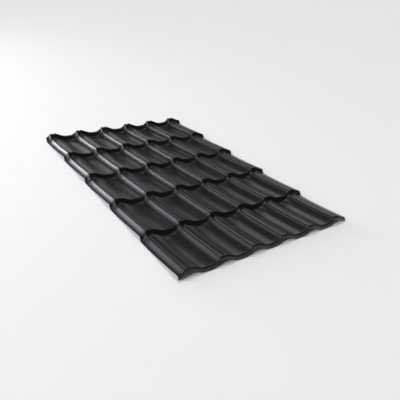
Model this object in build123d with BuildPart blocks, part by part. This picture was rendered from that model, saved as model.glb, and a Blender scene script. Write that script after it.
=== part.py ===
from build123d import *
import math
import os

# A pressed steel roofing sheet whose surface looks like rows of clay tiles.
# X runs across the sheet, Y runs up the slope from the eave edge, and Z is up.
# The origin is the middle of the sheet, at the level of the floor under its pans.
# Its form is one stepped section up the slope, carried along one wave across the sheet.

# The stock
sheet_gauge = 0.6

# The wave across the sheet, with its laps measured from the middle of the outermost crests
wave_pitch = 200.0
pan_count = 5
left_lap = 52.0
right_lap = 89.0

# One crest: two small ridges with a shallow groove midway between them
crest_height = 30.0
ridge_spacing = 31.0
ridge_radius = 10.0
groove_depth = 2.5

# The flank on the left of a crest is steep and the one on its right is gentle
steep_flank_angle = 55.0
steep_foot_radius = 56.0
gentle_flank_angle = 24.0
gentle_foot_radius = 100.0

# The steps up the slope, one for each course of tiles. A course falls in one straight run
# from its nose to a level seat, which ends at the toe of the next step.
tile_length = 350.0
course_count = 5
step_height = 24.5
step_slant = 15.0
seat_length = 100.0
head_strip = 16.0

# The lip along the eave slants as the steps do, and stops short of the pans
lip_drop = 19.0

# Sizes worked out from those above
sheet_width = left_lap + pan_count * wave_pitch + right_lap
left_edge_x = -sheet_width / 2
right_edge_x = sheet_width / 2
first_crest_x = left_edge_x + left_lap
lip_slant = step_slant * lip_drop / step_height
sheet_length = lip_slant + course_count * tile_length + head_strip
eave_y = -sheet_length / 2
head_y = sheet_length / 2
first_nose_y = eave_y + lip_slant
fall_length = tile_length - step_slant - seat_length
pan_level = sheet_gauge

# The round of the groove is tangent to the rounds of both ridges
groove_angle = 2 * math.degrees(math.atan2(groove_depth, ridge_spacing / 2))
groove_radius = ridge_spacing / 2 / math.sin(math.radians(groove_angle)) - ridge_radius


def flank_length(angle, foot_radius):
    """The straight part of a flank, between the rounds at its top and at its foot"""
    rounds_height = (ridge_radius + foot_radius) * (1 - math.cos(math.radians(angle)))
    return (crest_height - rounds_height) / math.sin(math.radians(angle))


steep_length = flank_length(steep_flank_angle, steep_foot_radius)
gentle_length = flank_length(gentle_flank_angle, gentle_foot_radius)
steep_rounds_run = (ridge_radius + steep_foot_radius) * math.sin(math.radians(steep_flank_angle))
steep_run = steep_rounds_run + steep_length * math.cos(math.radians(steep_flank_angle))


def draw_crest(crest_x):
    """One crest and the pan on its right, as far as the foot of the next crest"""
    steep_foot_x = crest_x - ridge_spacing / 2 - steep_run
    foot = JernArc((steep_foot_x, pan_level), (1, 0), steep_foot_radius, steep_flank_angle)
    flank = PolarLine(foot @ 1, steep_length, direction=foot % 1)
    ridge = JernArc(flank @ 1, flank % 1, ridge_radius, -(steep_flank_angle + groove_angle))
    groove = JernArc(ridge @ 1, ridge % 1, groove_radius, 2 * groove_angle)
    ridge = JernArc(groove @ 1, groove % 1, ridge_radius, -(groove_angle + gentle_flank_angle))
    flank = PolarLine(ridge @ 1, gentle_length, direction=ridge % 1)
    foot = JernArc(flank @ 1, flank % 1, gentle_foot_radius, gentle_flank_angle)
    Line(foot @ 1, (steep_foot_x + wave_pitch, pan_level))


# The wave is drawn past both side edges of the sheet and cut off there
with BuildLine(Plane.XZ) as wave:
    for crest_index in range(-1, pan_count + 1):
        draw_crest(first_crest_x + crest_index * wave_pitch)
    split(bisect_by=Plane.YZ.offset(left_edge_x), keep=Keep.TOP)
    split(bisect_by=Plane.YZ.offset(right_edge_x), keep=Keep.BOTTOM)

# The section stands at the left edge, and its seats are level with the wave there
seat_level = wave.vertices().sort_by(Axis.X)[0].Z


with BuildPart() as tile_sheet:
    with BuildSketch(Plane.YZ.offset(left_edge_x)):
        with BuildLine():
            outline = [(eave_y, seat_level + step_height - lip_drop)]
            for course in range(course_count):
                nose_y = first_nose_y + course * tile_length
                outline.append((nose_y, seat_level + step_height))
                outline.append((nose_y + fall_length, seat_level))
                outline.append((nose_y + fall_length + seat_length, seat_level))
            head_drop = step_height * head_strip / fall_length
            outline.append((head_y - head_strip, seat_level + step_height))
            outline.append((head_y, seat_level + step_height - head_drop))
            upper_face = Polyline(outline)
            offset(upper_face, sheet_gauge, side=Side.RIGHT, kind=Kind.INTERSECTION, closed=True)
        make_face()
    sweep(path=wave.wires()[0], normal=(1, 0, 0), clean=False)

tile_sheet.part.label = "tile_sheet"
os.makedirs("parts", exist_ok=True)
export_step(tile_sheet.part, "parts/tile_sheet.step")
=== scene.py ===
import bpy
import bmesh
from math import atan2, cos, degrees, radians, sin
from mathutils import Matrix, Vector


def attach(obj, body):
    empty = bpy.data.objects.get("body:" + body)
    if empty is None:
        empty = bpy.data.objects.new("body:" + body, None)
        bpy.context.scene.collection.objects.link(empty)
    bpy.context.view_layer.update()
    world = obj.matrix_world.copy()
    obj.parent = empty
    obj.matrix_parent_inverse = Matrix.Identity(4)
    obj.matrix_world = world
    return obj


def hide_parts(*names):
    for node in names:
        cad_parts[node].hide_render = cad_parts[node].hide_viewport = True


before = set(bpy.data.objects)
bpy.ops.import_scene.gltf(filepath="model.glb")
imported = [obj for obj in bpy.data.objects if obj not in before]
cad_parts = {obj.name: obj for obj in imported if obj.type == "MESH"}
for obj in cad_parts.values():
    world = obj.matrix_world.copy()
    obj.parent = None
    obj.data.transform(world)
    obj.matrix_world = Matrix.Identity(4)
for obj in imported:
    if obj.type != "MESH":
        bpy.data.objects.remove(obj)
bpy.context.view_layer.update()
mm = 0.001
mixShare, mixFrom, mixTo, mixResult = 0, 6, 7, 2        # the sockets of a Mix node that mixes colours


def hexColour(code):     # sRGB hex to the linear colour that the shaders take
    parts = [int(code[i:i + 2], 16) / 255 for i in (1, 3, 5)]
    return [c / 12.92 if c <= 0.04045 else ((c + 0.055) / 1.055) ** 2.4 for c in parts] + [1.0]


def addNode(tree, kind, settings={}, links={}):     # links: socket = a value or another node's output
    node = tree.nodes.new(kind)
    for name, value in settings.items():
        setattr(node, name, value)
    for name, value in links.items():
        if isinstance(value, bpy.types.NodeSocket):
            tree.links.new(value, node.inputs[name])
        else:
            node.inputs[name].default_value = value
    return node


def newMaterial(name):
    material = bpy.data.materials.new(name)
    material.use_nodes = True
    material.node_tree.nodes.clear()
    return material, material.node_tree


# The sheet, in mm and degrees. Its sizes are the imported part's, but the seat is shorter, the run before it is
# a shallow curve, and the noses and toes are rounded
sheet = {
    "gauge": 0.6,
    "pitch": 200.0, "pans": 5, "leftLap": 52.0, "rightLap": 89.0,
    "crestHeight": 30.0, "ridgeSpacing": 31.0, "ridgeRadius": 10.0, "grooveDepth": 2.5,
    "steepAngle": 55.0, "steepFoot": 56.0, "gentleAngle": 24.0, "gentleFoot": 100.0,
    "tileLength": 350.0, "courses": 5, "stepHeight": 24.5, "stepSlant": 15.0, "seat": 40.0,
    "headStrip": 16.0, "lipDrop": 19.0,
    "degreesPerStep": 7.0,      # how finely the wave's rounds are drawn
    "weld": 0.01,               # where two crests meet, points nearer than this become one
    "dishSteps": 12, "dishCurve": 1.35,     # strips in the shallow curve behind each nose, and its exponent
    "noseBend": 2.5, "toeBend": 2.5, "bendSegments": 4,     # the press tool's small rounds
}


def pick(kind, made):       # the points or the edges among what an operator made
    return [g for g in made if isinstance(g, kind)]


def bend(bm, vert, heading, turn, radius):       # carries a line round an arc, upwards when turn is above 0
    side = 1 if turn > 0 else -1
    centre = vert.co + Vector((-sin(heading), 0, cos(heading))) * radius * side
    steps = max(2, round(abs(degrees(turn)) / sheet["degreesPerStep"]))
    made = bmesh.ops.spin(bm, geom=[vert], cent=centre, axis=(0, 1, 0), angle=-turn, steps=steps)
    return made["geom_last"][0], heading + turn


def straight(bm, vert, heading, length):
    made = bmesh.ops.extrude_vert_indiv(bm, verts=[vert])["verts"]
    bmesh.ops.translate(bm, verts=made, vec=Vector((cos(heading), 0, sin(heading))) * length)
    return made[0]


def drawWave(bm):        # one crest with its two flanks, repeated, then trimmed at the side edges
    s = sheet
    groove = 2 * atan2(s["grooveDepth"], s["ridgeSpacing"] / 2)
    grooveRadius = s["ridgeSpacing"] / 2 / sin(groove) - s["ridgeRadius"]
    steep, gentle = radians(s["steepAngle"]), radians(s["gentleAngle"])

    def flankRun(angle, foot):
        rounds = s["ridgeRadius"] + foot
        flank = (s["crestHeight"] - rounds * (1 - cos(angle))) / sin(angle)
        return flank, rounds * sin(angle) + flank * cos(angle)

    steepFlank, steepRun = flankRun(steep, s["steepFoot"])
    gentleFlank, _ = flankRun(gentle, s["gentleFoot"])
    firstCrest = (-s["leftLap"] - s["pans"] * s["pitch"] - s["rightLap"]) / 2 + s["leftLap"]
    start = firstCrest - s["pitch"] - s["ridgeSpacing"] / 2 - steepRun
    vert = bm.verts.new((start, 0, s["gauge"]))
    vert, heading = bend(bm, vert, 0, steep, s["steepFoot"])
    vert = straight(bm, vert, heading, steepFlank)
    vert, heading = bend(bm, vert, heading, -steep - groove, s["ridgeRadius"])
    vert, heading = bend(bm, vert, heading, 2 * groove, grooveRadius)
    vert, heading = bend(bm, vert, heading, -groove - gentle, s["ridgeRadius"])
    vert = straight(bm, vert, heading, gentleFlank)
    vert, heading = bend(bm, vert, heading, gentle, s["gentleFoot"])
    straight(bm, vert, 0, start + s["pitch"] - vert.co.x)
    crest = bm.verts[:] + bm.edges[:]
    for i in range(1, s["pans"] + 2):
        made = bmesh.ops.duplicate(bm, geom=crest)["geom"]
        bmesh.ops.translate(bm, verts=pick(bmesh.types.BMVert, made), vec=(i * s["pitch"], 0, 0))
    bmesh.ops.remove_doubles(bm, verts=bm.verts[:], dist=s["weld"])
    leftEdge, rightEdge = firstCrest - s["leftLap"], firstCrest + s["pans"] * s["pitch"] + s["rightLap"]
    for edge, outward in ((leftEdge, -1), (rightEdge, 1)):
        bmesh.ops.bisect_plane(bm, geom=bm.verts[:] + bm.edges[:], plane_co=(edge, 0, 0),
                               plane_no=(outward, 0, 0), clear_outer=True)


def lengthLine():        # from eave to head: (distance, lift of the wave, what the line reaches there)
    s = sheet
    lipSlant = s["stepSlant"] * s["lipDrop"] / s["stepHeight"]
    total = lipSlant + s["courses"] * s["tileLength"] + s["headStrip"]
    eave = -total / 2
    dish = s["tileLength"] - s["stepSlant"] - s["seat"]
    line = [(eave, s["stepHeight"] - s["lipDrop"], "lip")]
    for course in range(s["courses"] + 1):
        nose = eave + lipSlant + course * s["tileLength"]
        line.append((nose, s["stepHeight"], "nose"))
        if course == s["courses"]:
            share = s["headStrip"] / dish
            line.append((nose + s["headStrip"], s["stepHeight"] * (1 - share) ** s["dishCurve"], "head"))
            break
        for step in range(1, s["dishSteps"] + 1):
            share = step / s["dishSteps"]
            line.append((nose + share * dish, s["stepHeight"] * (1 - share) ** s["dishCurve"], "dish"))
        line.append((nose + dish + s["seat"], 0, "toe"))
    return line


def buildSheet():        # carries the wave up the slope, then adds the small rounds and the gauge
    bm = bmesh.new()
    drawWave(bm)
    line = lengthLine()
    bmesh.ops.translate(bm, verts=bm.verts[:], vec=(0, line[0][0], line[0][1]))
    edges = bm.edges[:]
    folds = {"nose": [], "toe": []}
    stretch = bm.verts.layers.float.new("stretch")       # 1 where the press bends the coat sharply
    for (fromY, fromZ, _), (toY, toZ, kind) in zip(line, line[1:]):
        made = bmesh.ops.extrude_edge_only(bm, edges=edges)["geom"]
        bmesh.ops.translate(bm, verts=pick(bmesh.types.BMVert, made), vec=(0, toY - fromY, toZ - fromZ))
        edges = pick(bmesh.types.BMEdge, made)
        if kind in folds:
            folds[kind] += edges
    for kind, size in (("nose", sheet["noseBend"]), ("toe", sheet["toeBend"])):
        made = bmesh.ops.bevel(bm, geom=folds[kind], offset=size, offset_type="OFFSET",
                               segments=sheet["bendSegments"], profile=0.5, affect="EDGES",
                               material=-1, clamp_overlap=True)
        for vert in made["verts"]:
            vert[stretch] = 1
    bmesh.ops.recalc_face_normals(bm, faces=bm.faces[:])
    if sum(f.normal.z for f in bm.faces) < 0:
        bmesh.ops.reverse_faces(bm, faces=bm.faces[:])
    bmesh.ops.scale(bm, verts=bm.verts[:], vec=(mm, mm, mm))
    for face in bm.faces:
        face.smooth = True
    mesh = bpy.data.meshes.new("sheet_skin")
    bm.to_mesh(mesh)
    bm.free()
    piece = bpy.data.objects.new("pressed_sheet", mesh)
    bpy.context.scene.collection.objects.link(piece)
    wall = piece.modifiers.new("gauge", "SOLIDIFY")
    wall.thickness = sheet["gauge"] * mm
    wall.offset = -1                # the skin is the upper face, and the gauge goes below it
    wall.use_even_offset = True
    wall.material_offset = 1        # the underside takes the second material, and the cut edge the third
    wall.material_offset_rim = 2
    return piece


coat = {
    "colour": "#090d0b", "deep": "#060807", "stretched": "#0d100f",     # black with a faint green cast
    "roughness": 0.36, "glossSpread": 0.04, "ior": 1.5,
    "patch": 140.0, "streak": 7.0, "grain": 1.6, "ripple": 85.0,       # mm
    "patchDetail": 3.0, "streakDetail": 2.0, "grainDetail": 2.0, "rippleDetail": 1.0,
    "streakSquash": 0.04,       # the streaks run up the slope, 25 times as long as they are wide
    "grainDepth": 0.02, "rippleDepth": 0.25,        # mm
}


# polyester colour coat, roller coated flat and then pressed: black and satin, with a broad soft sheen
def colourCoat():
    material, tree = newMaterial("satin_polyester_colour_coat")
    place = addNode(tree, "ShaderNodeTexCoord").outputs["Object"]
    patch = addNode(tree, "ShaderNodeTexNoise", {},
                    {"Vector": place, "Scale": 1 / (coat["patch"] * mm), "Detail": coat["patchDetail"]})
    tint = addNode(tree, "ShaderNodeMix", {"data_type": "RGBA"},
                   {mixShare: patch.outputs["Fac"], mixFrom: hexColour(coat["deep"]),
                    mixTo: hexColour(coat["colour"])})
    bent = addNode(tree, "ShaderNodeAttribute", {"attribute_name": "stretch"})
    worn = addNode(tree, "ShaderNodeMix", {"data_type": "RGBA"},
                   {mixShare: bent.outputs["Fac"], mixFrom: tint.outputs[mixResult],
                    mixTo: hexColour(coat["stretched"])})
    along = addNode(tree, "ShaderNodeMapping", {},
                    {"Vector": place, "Scale": (1.0, coat["streakSquash"], 1.0)})
    streak = addNode(tree, "ShaderNodeTexNoise", {},
                     {"Vector": along.outputs[0], "Scale": 1 / (coat["streak"] * mm),
                      "Detail": coat["streakDetail"]})
    gloss = addNode(tree, "ShaderNodeMapRange", {},
                    {"Value": streak.outputs["Fac"], "To Min": coat["roughness"] - coat["glossSpread"],
                     "To Max": coat["roughness"] + coat["glossSpread"]})
    ripple = addNode(tree, "ShaderNodeTexNoise", {},
                     {"Vector": place, "Scale": 1 / (coat["ripple"] * mm), "Detail": coat["rippleDetail"]})
    uneven = addNode(tree, "ShaderNodeBump", {},
                     {"Height": ripple.outputs["Fac"], "Distance": coat["rippleDepth"] * mm})
    # the grain is really about 0.2 mm, and is drawn coarser so that it shows
    grain = addNode(tree, "ShaderNodeTexNoise", {},
                    {"Vector": place, "Scale": 1 / (coat["grain"] * mm), "Detail": coat["grainDetail"]})
    fine = addNode(tree, "ShaderNodeBump", {},
                   {"Height": grain.outputs["Fac"], "Distance": coat["grainDepth"] * mm,
                    "Normal": uneven.outputs[0]})
    shader = addNode(tree, "ShaderNodeBsdfPrincipled", {},
                     {"Base Color": worn.outputs[mixResult], "Roughness": gloss.outputs[0],
                      "Normal": fine.outputs[0], "IOR": coat["ior"]})
    addNode(tree, "ShaderNodeOutputMaterial", {}, {"Surface": shader.outputs[0]})
    return material


backing = {
    "colour": "#7d8183", "deep": "#6f7375", "roughness": (0.52, 0.64), "ior": 1.5,
    "mottle": 30.0, "peel": 3.0, "peelDepth": 0.02,     # mm
    "mottleDetail": 4.0, "peelDetail": 1.0,
}


def backingCoat():      # thin epoxy primer on the underside: flat grey, with a slight orange peel
    material, tree = newMaterial("grey_epoxy_backing_coat")
    place = addNode(tree, "ShaderNodeTexCoord").outputs["Object"]
    mottle = addNode(tree, "ShaderNodeTexNoise", {},
                     {"Vector": place, "Scale": 1 / (backing["mottle"] * mm),
                      "Detail": backing["mottleDetail"]})
    tint = addNode(tree, "ShaderNodeMix", {"data_type": "RGBA"},
                   {mixShare: mottle.outputs["Fac"], mixFrom: hexColour(backing["deep"]),
                    mixTo: hexColour(backing["colour"])})
    smoothest, roughest = backing["roughness"]
    gloss = addNode(tree, "ShaderNodeMapRange", {},
                    {"Value": mottle.outputs["Fac"], "To Min": smoothest, "To Max": roughest})
    peel = addNode(tree, "ShaderNodeTexNoise", {},
                   {"Vector": place, "Scale": 1 / (backing["peel"] * mm), "Detail": backing["peelDetail"]})
    bump = addNode(tree, "ShaderNodeBump", {},
                   {"Height": peel.outputs["Fac"], "Distance": backing["peelDepth"] * mm})
    shader = addNode(tree, "ShaderNodeBsdfPrincipled", {},
                     {"Base Color": tint.outputs[mixResult], "Roughness": gloss.outputs[0],
                      "Normal": bump.outputs[0], "IOR": backing["ior"]})
    addNode(tree, "ShaderNodeOutputMaterial", {}, {"Surface": shader.outputs[0]})
    return material


shear = {
    "bright": "#8b8f91", "dull": "#4a4d4f", "roughness": (0.4, 0.6), "metallic": 0.8,
    "mark": 1.5, "markDepth": 0.03,     # mm between shear marks, and their depth
    "markDetail": 3.0,
}


def cutEdge():          # sheared galvanized edge: broken streaks of bright zinc and dull steel in the gauge
    material, tree = newMaterial("sheared_zinc_edge")
    place = addNode(tree, "ShaderNodeTexCoord").outputs["Object"]
    marks = addNode(tree, "ShaderNodeTexNoise", {},
                    {"Vector": place, "Scale": 1 / (shear["mark"] * mm), "Detail": shear["markDetail"]})
    tint = addNode(tree, "ShaderNodeMix", {"data_type": "RGBA"},
                   {mixShare: marks.outputs["Fac"], mixFrom: hexColour(shear["dull"]),
                    mixTo: hexColour(shear["bright"])})
    smoothest, roughest = shear["roughness"]
    gloss = addNode(tree, "ShaderNodeMapRange", {},
                    {"Value": marks.outputs["Fac"], "To Min": smoothest, "To Max": roughest})
    bump = addNode(tree, "ShaderNodeBump", {},
                   {"Height": marks.outputs["Fac"], "Distance": shear["markDepth"] * mm})
    shader = addNode(tree, "ShaderNodeBsdfPrincipled", {},
                     {"Base Color": tint.outputs[mixResult], "Roughness": gloss.outputs[0],
                      "Normal": bump.outputs[0], "Metallic": shear["metallic"]})
    addNode(tree, "ShaderNodeOutputMaterial", {}, {"Surface": shader.outputs[0]})
    return material


piece = buildSheet()
for material in (colourCoat(), backingCoat(), cutEdge()):
    piece.data.materials.append(material)
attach(piece, "root")
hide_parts("tile_sheet")
print("sheet built:", len(piece.data.polygons), "faces in its skin")

# The studio, in metres
studio = {
    "floorColour": "#fcfcfb", "floorRoughness": 0.9, "floorRadius": 60.0, "floorSides": 64,
    "worldColour": "#ffffff", "worldStrength": 0.04,        # kept dim, so that the coat stays black
    # each lamp: azimuth from up the slope towards the right, elevation, strength, spread, colour
    "lamps": {
        "low_window": (-22.0, 5.0, 1.45, 18.0, "#f0f5ff"),      # the bright bands on the steep flanks
        "far_window": (15.0, 16.0, 0.157, 18.0, "#ffffff"),     # the lines along the crests
        "back_wall": (35.0, 5.0, 0.052, 18.0, "#ffffff"),       # the sheen on the pans
        "right_window": (50.0, 30.0, 0.14, 18.0, "#ffffff"),    # the stripes on the pans at the right
        "right_wall": (50.0, 16.0, 0.075, 18.0, "#ffffff"),     # a weaker one below it
        "top_fill": (36.0, 80.0, 1.1, 40.0, "#ffffff"),         # these two keep the floor pale, also
        "side_fill": (-110.0, 35.0, 1.9, 16.0, "#ffffff"),      # close in front of the eave
    },
    # a long softbox at the back left: its place, the point it faces, its length and height, its watts
    "softbox": {
        "place": (-2.2, 2.6, 1.6), "faces": (0.0, 2.0, 0.5), "size": (5.6, 1.7),
        "power": 38.0, "colour": "#f0f5ff",
    },
}


def buildFloor():       # a pale matt floor, wide enough to reach past the picture
    bm = bmesh.new()
    bmesh.ops.create_circle(bm, cap_ends=True, segments=studio["floorSides"], radius=studio["floorRadius"])
    mesh = bpy.data.meshes.new("studio_floor")
    bm.to_mesh(mesh)
    bm.free()
    floor = bpy.data.objects.new("studio_floor", mesh)
    bpy.context.scene.collection.objects.link(floor)
    material, tree = newMaterial("pale_studio_floor")
    shader = addNode(tree, "ShaderNodeBsdfPrincipled", {},
                     {"Base Color": hexColour(studio["floorColour"]), "Roughness": studio["floorRoughness"]})
    addNode(tree, "ShaderNodeOutputMaterial", {}, {"Surface": shader.outputs[0]})
    mesh.materials.append(material)


buildFloor()
world = bpy.data.worlds.new("studio_world")
bpy.context.scene.world = world
world.use_nodes = True
background = world.node_tree.nodes["Background"]
background.inputs["Color"].default_value = hexColour(studio["worldColour"])
background.inputs["Strength"].default_value = studio["worldStrength"]


def addSun(name, azimuth, elevation, strength, spread, colour):
    lamp = bpy.data.lights.new(name, "SUN")
    lamp.energy = strength
    lamp.angle = radians(spread)
    lamp.color = hexColour(colour)[:3]
    sun = bpy.data.objects.new(name, lamp)
    level = cos(radians(elevation))
    toward = Vector((sin(radians(azimuth)) * level, cos(radians(azimuth)) * level, sin(radians(elevation))))
    sun.rotation_euler = toward.to_track_quat("Z", "Y").to_euler()
    bpy.context.scene.collection.objects.link(sun)


def addSoftbox():        # widens the bands on the left crests, which are the nearest to it
    box = studio["softbox"]
    lamp = bpy.data.lights.new("left_softbox", "AREA")
    lamp.shape = "RECTANGLE"
    lamp.size, lamp.size_y = box["size"]
    lamp.energy = box["power"]
    lamp.color = hexColour(box["colour"])[:3]
    softbox = bpy.data.objects.new("left_softbox", lamp)
    softbox.location = box["place"]
    behind = Vector(box["place"]) - Vector(box["faces"])
    softbox.rotation_euler = behind.to_track_quat("Z", "Y").to_euler()
    softbox.visible_camera = False
    bpy.context.scene.collection.objects.link(softbox)


for name, settings in studio["lamps"].items():
    addSun(name, *settings)
addSoftbox()
print("studio built")

# The camera, found by fitting the crests, steps and edges of the part to the photograph
view = {
    "place": (-1.4796, -2.12326, 1.2677), "clipEnd": 500.0,         # metres
    "lens": 39.88, "sensor": 36.0, "shift": (0.03511, -0.00167),    # mm, mm and parts of the picture
    "right": (0.82929, -0.55272, 0.08227),
    "up": (0.20883, 0.44309, 0.87181),
    "back": (-0.51832, -0.70581, 0.48288),
}
cameraData = bpy.data.cameras.new("camera")
cameraData.lens = view["lens"]
cameraData.shift_x, cameraData.shift_y = view["shift"]
cameraData.sensor_width = view["sensor"]
cameraData.clip_end = view["clipEnd"]
camera = bpy.data.objects.new("camera", cameraData)
turn = Matrix((view["right"], view["up"], view["back"])).transposed().to_4x4()
camera.matrix_world = Matrix.Translation(view["place"]) @ turn
bpy.context.scene.collection.objects.link(camera)
bpy.context.scene.camera = camera
print("camera set")

bpy.context.scene.view_settings.view_transform = "Standard"
